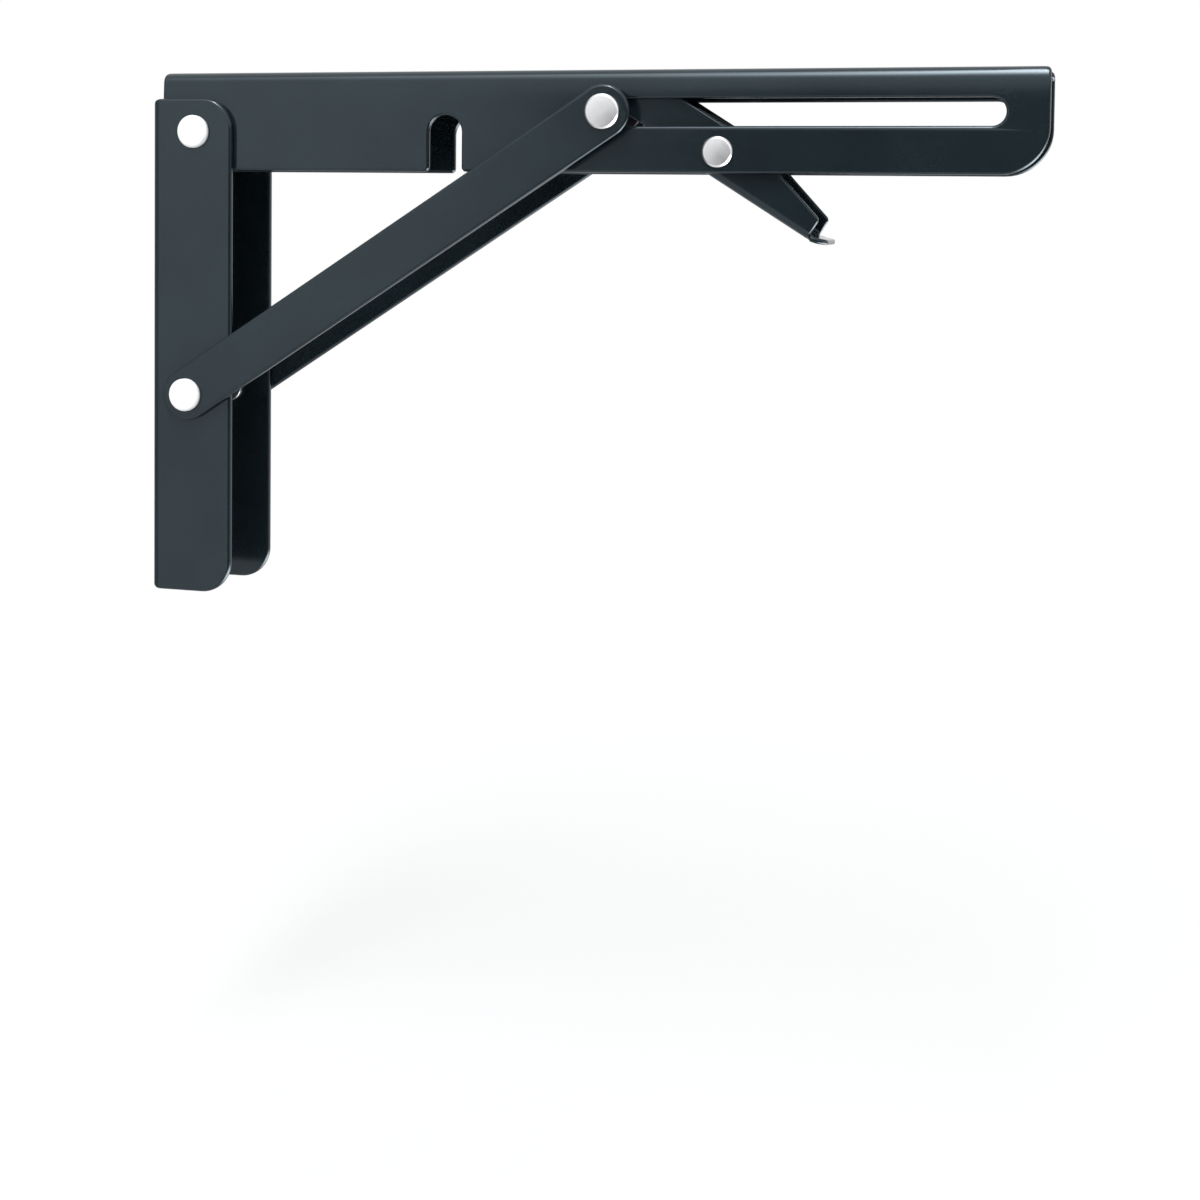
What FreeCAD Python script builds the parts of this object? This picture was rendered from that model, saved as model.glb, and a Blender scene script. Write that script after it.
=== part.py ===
import FreeCAD, Part
import math
import os

Vector = FreeCAD.Vector

# Folding shelf bracket, shown open: a channel screwed upright to a wall, an arm hinged at its top that
# carries the leaf, and a strut of two flat bars whose upper pin slides in a slot of the arm. A sprung lever
# inside the arm stops that pin until it is pressed.
# Millimetres. The origin is on the wall face, at the centre of the wall screws. +X runs out along the arm,
# +Z is up, and the bracket is the same on both sides of the XZ plane.

# Sheet and running clearances
sheet = 2.0
bend_inside = 1.0
side_gap = 0.2
pivot_play = 0.05
head_gap = 0.1
open_pivot_gap = 0.3

# Wall channel
wall_height = 142.0
wall_depth = 25.2
wall_width = 28.0
wall_corner = 9.0
wall_screw_pitch = 40.0
wall_screw_count = 3
screw_hole = 5.2
end_rounding = 1.6

# Arm
arm_length = 250.0
arm_depth = 28.0
arm_heel = 11.0
arm_nose_corner = 12.5
arm_nose_recess = 2.0
arm_lean = 0.45
arm_lean_depth = 6.4
arm_lean_rounding = 20.0
shelf_hole_from_wall = 40.0
shelf_hole_middle = 105.0
shelf_hole_far = 222.0

# Pivots, measured from the wall face and from the ends of the wall channel
arm_pivot_x = 13.6
arm_pivot_below_top = 9.4
strut_foot_x = 12.3
strut_foot_above_bottom = 57.2

# Slot in the arm and the pin that slides in it
slot_above_pivot = 5.3
slot_start_x = 135.4
slot_travel = 102.4
slot_width = 7.4
pin_diameter = 7.0
collar_diameter = 10.0

# Notch in the arm that passes over the strut's foot rivets when the arm is folded
notch_width = 9.6
notch_spare_depth = 1.2
notch_flare = 1.3

# Strut bars
bar_width = 14.6
bar_sheet = 2.0

# Rivets
shank_diameter = 6.0
head_diameter = 9.3
inner_head_diameter = 8.2
strut_head_diameter = 9.5
lever_head_diameter = 8.3
head_height = 1.5
head_bevel = 0.5
inner_head_height = 1.1

# Release lever, a smaller channel turned on its own rivet
lever_sheet = 1.5
lever_bend_inside = 0.7
lever_side_gap = 0.4
lever_pivot_x = 166.2
lever_pivot_below_arm_pivot = 5.3
lever_slope = 32.0
lever_web_side = 6.9
lever_open_side = 6.8
lever_knee = 6.0
lever_length = 32.4
lever_tip_height = 6.3
lever_tip_corner = 1.3
lever_web_setback = 19.5
lever_heel_trim = 1.9
latch_gap = 0.3
stop_gap = 0.1
tab_flat = 1.6
tab_curl = 2.8
tab_curl_angle = 22.0
tab_curl_radius = 6.0
tab_corner = 3.6

# Lever spring
wire_diameter = 1.0
wire_sides = 8
coil_play = 0.4
coil_turns = 4
coil_runs_per_turn = 14
coil_pitch = 1.15
web_leg_reach = 17.0
arm_leg_reach = 21.0
arm_leg_rise = 4.3
hook_hole = 1.8
hook_depth = 1.6
leg_gap = 0.05

# Places worked out from the sizes above
wall_bottom_z = -wall_height / 2
wall_top_z = wall_height / 2
arm_pivot_z = wall_top_z - arm_pivot_below_top
arm_start_x = arm_pivot_x - arm_heel
arm_bottom_z = arm_pivot_z - arm_heel
arm_top_z = arm_bottom_z + arm_depth
strut_foot_z = wall_bottom_z + strut_foot_above_bottom
slot_z = arm_pivot_z + slot_above_pivot
foot_to_arm_pivot = arm_pivot_z - strut_foot_z
notch_x = arm_pivot_x + foot_to_arm_pivot
notch_top_z = arm_pivot_z + (strut_foot_x - arm_pivot_x) + notch_spare_depth + notch_width / 2
strut_length = math.hypot(slot_start_x - strut_foot_x, slot_z - strut_foot_z)
strut_angle = math.degrees(math.atan2(slot_z - strut_foot_z, slot_start_x - strut_foot_x))
lever_pivot_z = arm_pivot_z - lever_pivot_below_arm_pivot
latch_reach = math.hypot(lever_pivot_x - slot_start_x, slot_z - lever_pivot_z) - pin_diameter / 2 - latch_gap

# Faces across the bracket, as distances from its middle plane
wall_outside = wall_width / 2
wall_inside = wall_outside - sheet
arm_outside = wall_inside - side_gap
arm_inside = arm_outside - sheet
bar_inside = wall_outside + side_gap
bar_outside = bar_inside + bar_sheet
lever_outside = arm_inside - lever_side_gap
through_all = 4 * wall_width
tiny = 1e-6

SIDES = {"left": 1, "right": -1}


def rounded_face(corners):
    """Flat face through corner points, each given with the radius that rounds it."""
    count = len(corners)
    edges = []
    leave = None
    for number in range(count + 1):
        point, radius = corners[number % count]
        back = (corners[(number - 1) % count][0] - point).normalize()
        ahead = (corners[(number + 1) % count][0] - point).normalize()
        half_angle = back.getAngle(ahead) / 2
        reach = radius / math.tan(half_angle)
        enter = point + back * reach
        depart = point + ahead * reach
        if leave is not None and (enter - leave).Length > tiny:
            edges.append(Part.LineSegment(leave, enter).toShape())
        if number < count and radius > 0:
            inward = (back + ahead).normalize()
            middle = point + inward * (radius / math.sin(half_angle) - radius)
            edges.append(Part.Arc(enter, middle, depart).toShape())
        leave = depart
    return Part.Face(Part.Wire(Part.__sortEdges__(edges)))


def plate(corners):
    """Side outline, drawn as (x, z, radius), made into a block right across the bracket."""
    drawn = [(Vector(x, -through_all / 2, z), radius) for x, z, radius in corners]
    return rounded_face(drawn).extrude(Vector(0, through_all, 0))


def channel_half(half, depth, thickness, inside_radius, lean):
    """Section of one flange, from its outer free corner round the bend and back to its inner one."""
    outside_radius = inside_radius + thickness
    if lean is None:
        outer = [(half, 0, outside_radius)]
        inner = [(half - thickness, thickness, inside_radius)]
    else:
        step, start, rounding = lean
        outer = [(half - step, 0, outside_radius), (half, start, rounding)]
        inner = [(half - thickness, start, rounding), (half - step - thickness, thickness, inside_radius)]
    return outer + [(half, depth, 0), (half - thickness, depth, 0)] + inner


def channel(web_middle, open_way, run, width, depth, thickness, inside_radius, lean=None):
    """Folded U channel. Its web lies at web_middle, its flanges reach open_way, and it runs along run.

    lean, if given, is how far each flange leans in at the web, the depth at which that starts, and the
    radius that rounds the start."""
    flange = channel_half(width / 2, depth, thickness, inside_radius, lean)
    mirrored = [(-across, down, radius) for across, down, radius in reversed(flange)]
    section = flange + mirrored
    drawn = [(web_middle + Vector(0, across, 0) + open_way * down, radius) for across, down, radius in section]
    return rounded_face(drawn).extrude(run)


def bore(x, z, diameter):
    """Round hole cutter that runs right across the bracket."""
    start = Vector(x, -through_all / 2, z)
    return Part.makeCylinder(diameter / 2, through_all, start, Vector(0, 1, 0))


def slot_cutter(x_from, x_to, z, width):
    """Round-ended slot cutter between two end centres."""
    radius = width / 2
    ends = [
        (x_from - radius, z - radius, radius),
        (x_to + radius, z - radius, radius),
        (x_to + radius, z + radius, radius),
        (x_from - radius, z + radius, radius),
    ]
    return plate(ends)


def turned(x, z, side, profile):
    """Turned piece on a line across the bracket, from (distance from the middle plane, radius) steps."""
    outline = [Vector(x, side * profile[0][0], z)]
    outline += [Vector(x + radius, side * distance, z) for distance, radius in profile]
    outline += [Vector(x, side * profile[-1][0], z)]
    face = Part.Face(Part.makePolygon(outline + outline[:1]))
    return solid_of(face.revolve(Vector(x, 0, z), Vector(0, 1, 0), 360))


def solid_of(shape):
    """The one closed solid of a shape, facing outwards."""
    solid = shape.Solids[0] if shape.Solids else Part.makeSolid(shape.Shells[0])
    if solid.Volume < 0:
        solid.reverse()
    return solid


def outer_head(face_at, diameter):
    """Steps of a bevelled rivet head whose underside lies at face_at."""
    radius = diameter / 2
    return [
        (face_at + head_height, radius - head_bevel),
        (face_at + head_height - head_bevel, radius),
        (face_at, radius),
    ]


def inner_head(face_at, diameter):
    """Steps of the lower, plain head on the inner end of a rivet."""
    return [(face_at, diameter / 2), (face_at - inner_head_height, diameter / 2)]


def shank(from_distance, to_distance, diameter):
    """Steps of a plain round shank."""
    return [(from_distance, diameter / 2), (to_distance, diameter / 2)]


def wall_channel():
    """Upright channel with rounded free corners, its pivots' holes and the wall screws' holes."""
    body = channel(Vector(0, 0, wall_bottom_z), Vector(1, 0, 0), Vector(0, 0, wall_height),
                   wall_width, wall_depth, sheet, bend_inside)
    body = body.common(plate([
        (0, wall_bottom_z, end_rounding),
        (wall_depth, wall_bottom_z, wall_corner),
        (wall_depth, wall_top_z, wall_corner),
        (0, wall_top_z, end_rounding),
    ]))
    body = body.cut(bore(arm_pivot_x, arm_pivot_z, shank_diameter))
    body = body.cut(bore(strut_foot_x, strut_foot_z, shank_diameter))
    for number in range(wall_screw_count):
        z = (number - (wall_screw_count - 1) / 2) * wall_screw_pitch
        body = body.cut(Part.makeCylinder(screw_hole / 2, 3 * sheet, Vector(-sheet, 0, z), Vector(1, 0, 0)))
    return solid_of(body)


def notch_cutter():
    """Open notch with a round top and a flared mouth at the arm's lower edge."""
    half = notch_width / 2
    below = arm_bottom_z - sheet
    slot = plate([
        (notch_x - half, below, 0),
        (notch_x + half, below, 0),
        (notch_x + half, notch_top_z, half),
        (notch_x - half, notch_top_z, half),
    ])
    flare_top = arm_bottom_z + notch_flare
    mouth = plate([
        (notch_x - half - notch_flare, below, 0),
        (notch_x + half + notch_flare, below, 0),
        (notch_x + half + notch_flare, flare_top, 0),
        (notch_x - half - notch_flare, flare_top, 0),
    ])
    for side in (-1, 1):
        mouth = mouth.cut(bore(notch_x + side * (half + notch_flare), flare_top, 2 * notch_flare))
    return slot.fuse(mouth)


def nose_recess_cutter(arm_end_x):
    """Shallow round-cornered recess that sets the web back between the two bends at the nose."""
    half = arm_outside - arm_lean - bend_inside - sheet
    low = Vector(0, 0, arm_top_z - 2 * sheet)
    corners = []
    for x, y, radius in (
        (arm_end_x - arm_nose_recess, -half, arm_nose_recess / 2),
        (arm_end_x + arm_nose_recess, -half, 0),
        (arm_end_x + arm_nose_recess, half, 0),
        (arm_end_x - arm_nose_recess, half, arm_nose_recess / 2),
    ):
        corners.append((low + Vector(x, y, 0), radius))
    return rounded_face(corners).extrude(Vector(0, 0, 3 * sheet))


def top_arm():
    """Arm channel, open downwards, with its slot, notch, pivot holes, spring hole and the leaf's holes."""
    arm_end_x = arm_start_x + arm_length
    body = channel(Vector(arm_start_x, 0, arm_top_z), Vector(0, 0, -1), Vector(arm_length, 0, 0),
                   2 * arm_outside, arm_depth, sheet, bend_inside,
                   (arm_lean, arm_lean_depth, arm_lean_rounding))
    body = body.common(plate([
        (arm_start_x, arm_bottom_z, arm_heel),
        (arm_end_x, arm_bottom_z, arm_nose_corner),
        (arm_end_x, arm_top_z, end_rounding),
        (arm_start_x, arm_top_z, end_rounding),
    ]))
    body = body.cut(bore(arm_pivot_x, arm_pivot_z, shank_diameter + 2 * pivot_play))
    body = body.cut(slot_cutter(slot_start_x, slot_start_x + slot_travel, slot_z, slot_width))
    body = body.cut(notch_cutter())
    body = body.cut(bore(lever_pivot_x, lever_pivot_z, shank_diameter))
    body = body.cut(nose_recess_cutter(arm_end_x))
    hook = Vector(lever_pivot_x + arm_leg_reach, 0, lever_pivot_z + arm_leg_rise)
    body = body.cut(Part.makeCylinder(hook_hole / 2, arm_outside + sheet, hook, Vector(0, 1, 0)))
    for x in (shelf_hole_from_wall, shelf_hole_middle, shelf_hole_far):
        start = Vector(x, 0, arm_top_z - 2 * sheet)
        body = body.cut(Part.makeCylinder(screw_hole / 2, 3 * sheet, start, Vector(0, 0, 1)))
    return solid_of(body)


def strut_bar(side):
    """Flat bar with full round ends, from the foot rivet to the pin at the slot's start."""
    half = bar_width / 2
    along = Vector(math.cos(math.radians(strut_angle)), 0, math.sin(math.radians(strut_angle)))
    across = Vector(-along.z, 0, along.x)
    foot = Vector(strut_foot_x, side * bar_inside, strut_foot_z)
    head = foot + along * strut_length
    ends = [(foot, -1), (head, 1), (head, 1), (foot, -1)]
    sides = (-1, -1, 1, 1)
    corners = []
    for (centre, end), edge in zip(ends, sides):
        corners.append((centre + along * (end * half) + across * (edge * half), half))
    bar = rounded_face(corners).extrude(Vector(0, side * bar_sheet, 0))
    bar = bar.cut(bore(strut_foot_x, strut_foot_z, shank_diameter + 2 * pivot_play))
    bar = bar.cut(bore(slot_start_x, slot_z, shank_diameter))
    return solid_of(bar)


def arm_pivot_rivet(side):
    """Short rivet that is tight in the wall channel's flange and turns in the arm's."""
    inner_face = arm_inside - head_gap
    steps = outer_head(wall_outside, head_diameter)
    steps += shank(wall_outside, inner_face, shank_diameter)
    steps += inner_head(inner_face, head_diameter)
    return turned(arm_pivot_x, arm_pivot_z, side, steps)


def strut_foot_rivet(side):
    """Short rivet on which a strut bar turns. Its inner head enters the arm's notch when folded."""
    steps = outer_head(bar_outside + head_gap, head_diameter)
    steps += shank(bar_outside + head_gap, wall_inside, shank_diameter)
    steps += inner_head(wall_inside, inner_head_diameter)
    return turned(strut_foot_x, strut_foot_z, side, steps)


def strut_head_rivet(side):
    """Head and end of the sliding pin where it is riveted into a strut bar."""
    steps = outer_head(bar_outside, strut_head_diameter)
    steps += shank(bar_outside, bar_inside, shank_diameter)
    return turned(slot_start_x, slot_z, side, steps)


def slot_pin(side):
    """Stretch of the sliding pin in the slot, with the collar that keeps the bar off the arm."""
    steps = shank(bar_inside - open_pivot_gap, arm_outside + head_gap, collar_diameter)
    steps += shank(arm_outside + head_gap, arm_inside, pin_diameter)
    return turned(slot_start_x, slot_z, side, steps)


def lever_pivot_rivet():
    """Rivet through both flanges of the arm, with a head on each side."""
    half = outer_head(arm_outside, lever_head_diameter) + [(arm_outside, shank_diameter / 2)]
    other_half = [(-distance, radius) for distance, radius in reversed(half)]
    return turned(lever_pivot_x, lever_pivot_z, 1, half + other_half)


def lever_place(along, up):
    """Point of the lever's own frame, along its web towards the tab and up from the pivot."""
    slope = math.radians(lever_slope)
    x = lever_pivot_x + along * math.cos(slope) + up * math.sin(slope)
    z = lever_pivot_z - along * math.sin(slope) + up * math.cos(slope)
    return Vector(x, 0, z)


def lever_plate(corners):
    """Side outline in the lever's own frame, made into a block right across the bracket."""
    placed = [(lever_place(along, up), radius) for along, up, radius in corners]
    return plate([(point.x, point.z, radius) for point, radius in placed])


def finger_tab():
    """Curled end of the lever's web, rounded at its corners in plan."""
    start = lever_length - lever_sheet
    turn = lever_length + tab_flat
    angle = math.radians(tab_curl_angle)
    rise = lever_sheet * math.tan(angle / 2)
    web = -lever_web_side
    out_along = tab_curl * math.cos(angle)
    out_up = tab_curl * math.sin(angle)
    side_view = lever_plate([
        (start, web, 0),
        (turn, web, tab_curl_radius + lever_sheet),
        (turn + out_along, web + out_up, 0),
        (turn + out_along - lever_sheet * math.sin(angle), web + out_up + lever_sheet * math.cos(angle), 0),
        (turn - rise, web + lever_sheet, tab_curl_radius),
        (start, web + lever_sheet, 0),
    ])
    end = turn + out_along
    plan = []
    for along, across, radius in (
        (start, -lever_outside, 0),
        (end, -lever_outside, tab_corner),
        (end, lever_outside, tab_corner),
        (start, lever_outside, 0),
    ):
        plan.append((lever_place(along, web - tab_curl) + Vector(0, across, 0), radius))
    upwards = lever_place(0, 1) - lever_place(0, 0)
    plan_view = rounded_face(plan).extrude(upwards * (3 * tab_curl))
    return side_view.common(plan_view)


def release_lever():
    """Small channel whose heel stops the sliding pin and whose tab hangs under the arm."""
    heel = -latch_reach - lever_sheet
    run = lever_place(lever_length, 0) - lever_place(heel, 0)
    open_way = lever_place(0, 1) - lever_place(0, 0)
    body = channel(lever_place(heel, -lever_web_side), open_way, run, 2 * lever_outside,
                   lever_web_side + lever_open_side, lever_sheet, lever_bend_inside)
    tip_up = lever_tip_height - lever_web_side
    body = body.common(lever_plate([
        (heel, lever_heel_trim - lever_web_side, 0),
        (-lever_web_setback, lever_heel_trim - lever_web_side, lever_sheet / 2),
        (-lever_web_setback, -lever_web_side, 0),
        (lever_length, -lever_web_side, 0),
        (lever_length, tip_up, lever_tip_corner),
        (lever_knee, lever_open_side, 2 * lever_tip_corner),
        (heel, lever_open_side, 0),
    ]))
    body = body.fuse(finger_tab()).removeSplitter()
    swing = bore(lever_pivot_x, lever_pivot_z, 2 * latch_reach)
    beyond = lever_plate([
        (0, -through_all, 0),
        (through_all, -through_all, 0),
        (through_all, through_all, 0),
        (0, through_all, 0),
    ])
    body = body.common(swing.fuse(beyond))
    stop_z = arm_top_z - sheet - bend_inside - stop_gap
    above = Part.makeBox(through_all, through_all, through_all)
    above.translate(Vector(lever_pivot_x - through_all / 2, -through_all / 2, stop_z))
    body = body.cut(above)
    return solid_of(body.cut(bore(lever_pivot_x, lever_pivot_z, shank_diameter + 2 * pivot_play)))


def leg_root(target, coil_radius, turn):
    """Angle about the lever's pivot at which a straight leg to the target leaves the coil."""
    away = target - Vector(lever_pivot_x, 0, lever_pivot_z)
    return math.atan2(away.z, away.x) + turn * math.acos(coil_radius / math.hypot(away.x, away.z))


def coil_point(coil_radius, swing, across):
    """Point at that angle about the lever's pivot, at that distance across the bracket."""
    x = lever_pivot_x + coil_radius * math.cos(swing)
    z = lever_pivot_z + coil_radius * math.sin(swing)
    return Vector(x, across, z)


def wire_section(centre, way):
    """Many-sided outline of the spring wire, square to the way it runs, which has no part across."""
    across = Vector(0, 1, 0)
    upwards = way.cross(across).normalize()
    corners = []
    for number in range(wire_sides + 1):
        angle = 2 * math.pi * (number + 0.5) / wire_sides
        corners.append(centre + (across * math.cos(angle) + upwards * math.sin(angle)) * (wire_diameter / 2))
    return Part.makePolygon(corners)


def lever_spring():
    """Torsion spring: a coil on the lever's rivet, one leg on the lever's web and one hooked in the arm's flange.

    Its turns are short straight runs of many-sided wire, so that so small a piece has few faces."""
    radius = wire_diameter / 2
    coil_radius = shank_diameter / 2 + coil_play + radius
    half_length = coil_turns * coil_pitch / 2
    web_end = lever_place(web_leg_reach, lever_sheet - lever_web_side + radius + leg_gap)
    arm_end = Vector(lever_pivot_x + arm_leg_reach, 0, lever_pivot_z + arm_leg_rise)
    web_end.y = -half_length
    arm_end.y = half_length
    web_swing = leg_root(web_end, coil_radius, -1)
    arm_swing = leg_root(arm_end, coil_radius, 1)
    whole_turn = 2 * math.pi
    sweep = coil_turns * whole_turn + (web_swing - arm_swing) % whole_turn
    runs = round(sweep / whole_turn * coil_runs_per_turn)
    points = [web_end]
    for number in range(runs + 1):
        share = number / runs
        points.append(coil_point(coil_radius, web_swing - share * sweep, (2 * share - 1) * half_length))
    points.append(arm_end)
    points.append(Vector(arm_end.x, arm_outside - sheet + hook_depth, arm_end.z))
    section = wire_section(web_end, points[1] - web_end)
    mitred = 1
    return solid_of(Part.makePolygon(points).makePipeShell([section], True, False, mitred))


def write(name, shape):
    """Write one piece as its own file."""
    shape.exportStep("parts/" + name + ".step")


def main():
    os.makedirs("parts", exist_ok=True)
    write("wall_channel", wall_channel())
    write("top_arm", top_arm())
    write("release_lever", release_lever())
    write("lever_pivot_rivet", lever_pivot_rivet())
    write("lever_spring", lever_spring())
    for name, side in SIDES.items():
        write("strut_bar_" + name, strut_bar(side))
        write("arm_pivot_rivet_" + name, arm_pivot_rivet(side))
        write("strut_foot_rivet_" + name, strut_foot_rivet(side))
        write("strut_head_rivet_" + name, strut_head_rivet(side))
        write("slot_pin_" + name, slot_pin(side))


main()
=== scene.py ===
"""Folding shelf bracket, shown open: black coated sheet pieces, bright rivets and a sprung release lever."""

import math

import bmesh
import bpy
from mathutils import Matrix, Vector


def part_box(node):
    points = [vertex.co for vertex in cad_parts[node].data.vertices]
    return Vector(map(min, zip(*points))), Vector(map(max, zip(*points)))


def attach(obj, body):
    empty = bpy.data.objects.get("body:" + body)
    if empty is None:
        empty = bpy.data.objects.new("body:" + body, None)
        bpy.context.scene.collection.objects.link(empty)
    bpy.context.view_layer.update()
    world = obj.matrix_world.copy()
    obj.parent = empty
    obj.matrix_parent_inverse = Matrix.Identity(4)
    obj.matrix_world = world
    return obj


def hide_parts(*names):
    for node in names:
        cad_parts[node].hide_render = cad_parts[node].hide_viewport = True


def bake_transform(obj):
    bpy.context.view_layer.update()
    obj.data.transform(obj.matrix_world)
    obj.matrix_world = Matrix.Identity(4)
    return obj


bl_info = {
    "name": "Folding Shelf Bracket",
    "version": (1, 0, 0),
    "blender": (4, 5, 0),
    "location": "View3D > Sidebar > Bracket",
    "description": "Builds a folding shelf bracket from bent sheet, rivets and a sprung lever",
    "category": "Object",
}

MM = 0.001
SIDES = (-1, 1)
# Directions on a flat blank
ALONG = Vector((1, 0, 0))
ACROSS = Vector((0, 1, 0))
# Largest turn between two points of a rounded corner
CORNER_STEP = math.radians(7)
# Points nearer to each other than this are one
TOUCHING = 0.001 * MM

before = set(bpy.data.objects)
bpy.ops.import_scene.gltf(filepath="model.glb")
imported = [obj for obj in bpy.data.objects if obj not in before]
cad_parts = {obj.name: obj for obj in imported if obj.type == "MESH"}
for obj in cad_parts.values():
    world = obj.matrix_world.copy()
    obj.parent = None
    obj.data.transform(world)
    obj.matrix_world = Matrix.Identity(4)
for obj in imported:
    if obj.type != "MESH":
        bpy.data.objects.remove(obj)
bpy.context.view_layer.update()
WALL_LOW, WALL_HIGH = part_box("wall_channel")
ARM_LOW, ARM_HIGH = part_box("top_arm")
BAR_LOW, BAR_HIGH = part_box("strut_bar_left")
LEVER_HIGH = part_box("release_lever")[1]


def middle_of(node):
    """Centre of a node's box, which for a turned piece lies on its own line."""
    low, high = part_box(node)
    return (low + high) / 2


ARM_PIVOT = middle_of("arm_pivot_rivet_left")
STRUT_FOOT = middle_of("strut_foot_rivet_left")
STRUT_HEAD = middle_of("strut_head_rivet_left")
LEVER_PIVOT = middle_of("lever_pivot_rivet")


def length(name, description, millimetres):
    """Property for a length, whose default is given in millimetres."""
    return bpy.props.FloatProperty(
        name=name, description=description, default=millimetres * MM, unit="LENGTH",
        subtype="DISTANCE", precision=5,
    )


def angle(name, description, degrees):
    """Property for an angle, whose default is given in degrees."""
    return bpy.props.FloatProperty(
        name=name, description=description, default=math.radians(degrees), unit="ROTATION", subtype="ANGLE"
    )


def share(name, description, default, highest=1.0):
    """Property for a plain number between nothing and highest."""
    return bpy.props.FloatProperty(name=name, description=description, default=default, min=0.0, max=highest)


def whole_number(name, description, default, lowest=1):
    """Property for a count."""
    return bpy.props.IntProperty(name=name, description=description, default=default, min=lowest)


def colour(name, description, default):
    """Property for a linear colour."""
    return bpy.props.FloatVectorProperty(
        name=name, description=description, default=default, subtype="COLOR", size=3, min=0.0, max=1.0
    )


class SheetSizes(bpy.types.PropertyGroup):
    """Sizes that the wall channel, the arm and the bars share."""

    thickness: length("Sheet thickness", "Thickness of the folded sheet", 2.0)
    bend: length("Inside bend radius", "Inside radius of the folds", 1.0)
    cut_edge: length("Cut edge rounding", "Rounding that tumbling and coating give a cut edge", 0.7)
    screw_hole: length("Screw hole", "Diameter of the screw holes", 5.2)
    shank: length("Rivet shank", "Diameter of the rivets' shanks", 6.0)
    pivot_play: length("Pivot play", "Radial play of a rivet in the piece that turns on it", 0.05)


class WallSizes(bpy.types.PropertyGroup):
    """Sizes of the wall channel."""

    corner: length("Free corner", "Radius of the flanges' free corners", 9.0)
    end_rounding: length("End rounding", "Rounding of the channel's ends at its web", 3.0)
    screw_pitch: length("Screw pitch", "Distance between neighbouring wall screws", 40.0)
    screw_count: whole_number("Screws", "Number of wall screws", 3)


class ArmSizes(bpy.types.PropertyGroup):
    """Sizes of the arm."""

    heel: length("Heel radius", "Radius of the lower corner at the wall end", 11.0)
    end_rounding: length("End rounding", "Rounding of the arm's ends at its web", 1.6)
    nose: length("Nose radius", "Radius of the lower corner at the free end", 12.5)
    recess: length("Web recess", "How far the web is set back at the free end", 2.0)
    lean: length("Lean", "How far a flange leans in at the web", 0.45)
    lean_depth: length("Lean depth", "Depth below the web at which the lean starts", 6.4)
    lean_rounding: length("Lean rounding", "Radius that rounds the start of the lean", 80.0)
    slot_travel: length("Slot travel", "Distance between the slot's end centres", 102.4)
    slot_width: length("Slot width", "Width of the slot", 7.4)
    notch_width: length("Notch width", "Width of the notch over the foot rivets", 9.6)
    notch_spare: length("Notch spare depth", "Room above the foot rivets when folded", 1.2)
    notch_flare: length("Notch flare", "Radius that opens the mouth of the notch", 1.3)
    hole_near: length("Near leaf hole", "Distance of the first leaf hole from the wall", 40.0)
    hole_middle: length("Middle leaf hole", "Distance of the middle leaf hole from the wall", 105.0)
    hole_far: length("Far leaf hole", "Distance of the last leaf hole from the wall", 222.0)


class StrutSizes(bpy.types.PropertyGroup):
    """Sizes of the strut bars."""

    width: length("Bar width", "Width of a bar and of its round ends", 14.6)


class RivetSizes(bpy.types.PropertyGroup):
    """Sizes of the turned pieces."""

    head_height: length("Head height", "Height of the outer heads", 1.5)
    head_bevel: length("Head bevel", "Bevel of the outer heads", 0.5)
    inner_height: length("Inner head height", "Height of the inner heads", 1.1)
    inner_head: length("Inner head", "Diameter of the foot rivets' inner heads", 8.2)
    pin: length("Pin diameter", "Diameter of the sliding pin in the slot", 7.0)
    collar: length("Collar height", "Height of the sliding pin's collar", 2.0)
    edge: length("Edge rounding", "Rounding of every turned edge", 0.12)
    steps: whole_number("Steps round", "Faces round a turned piece", 96, 12)


class LeverSizes(bpy.types.PropertyGroup):
    """Sizes of the release lever."""

    thickness: length("Sheet thickness", "Thickness of the lever's sheet", 1.5)
    bend: length("Inside bend radius", "Inside radius of the lever's folds", 0.7)
    slope: angle("Slope", "Slope of the lever's web", 32.0)
    web_side: length("Web side", "Distance of the web's outer face from the pivot", 6.9)
    open_side: length("Open side", "Distance of the flanges' free edges from the pivot", 6.8)
    knee: length("Knee", "Where the flanges start to taper, along the lever", 6.0)
    reach: length("Length", "Distance of the flanges' end from the pivot", 32.4)
    tip_height: length("Tip height", "Height of the flanges at their end", 6.3)
    tip_corner: length("Tip corner", "Radius of the flanges' end corners", 1.3)
    web_setback: length("Web setback", "Distance of the web's heel edge from the pivot", 19.5)
    heel_trim: length("Heel trim", "How far the flanges stop short of the web's face at the heel", 1.9)
    latch_gap: length("Latch gap", "Gap between the heel and the sliding pin", 0.3)
    stop_gap: length("Stop gap", "Gap between the lever and the arm's bend", 0.1)
    relief: length("Relief", "Width of the relief between the flanges' end and the tab", 0.5)
    tab_flat: length("Tab flat", "Length of the tab before its curl", 1.6)
    tab_curl: length("Tab curl", "Length of the tab beyond its curl", 2.8)
    tab_angle: angle("Tab angle", "Angle through which the tab curls", 22.0)
    tab_radius: length("Tab radius", "Inside radius of the tab's curl", 6.0)
    tab_corner: length("Tab corner", "Radius of the tab's corners", 3.6)


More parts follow.
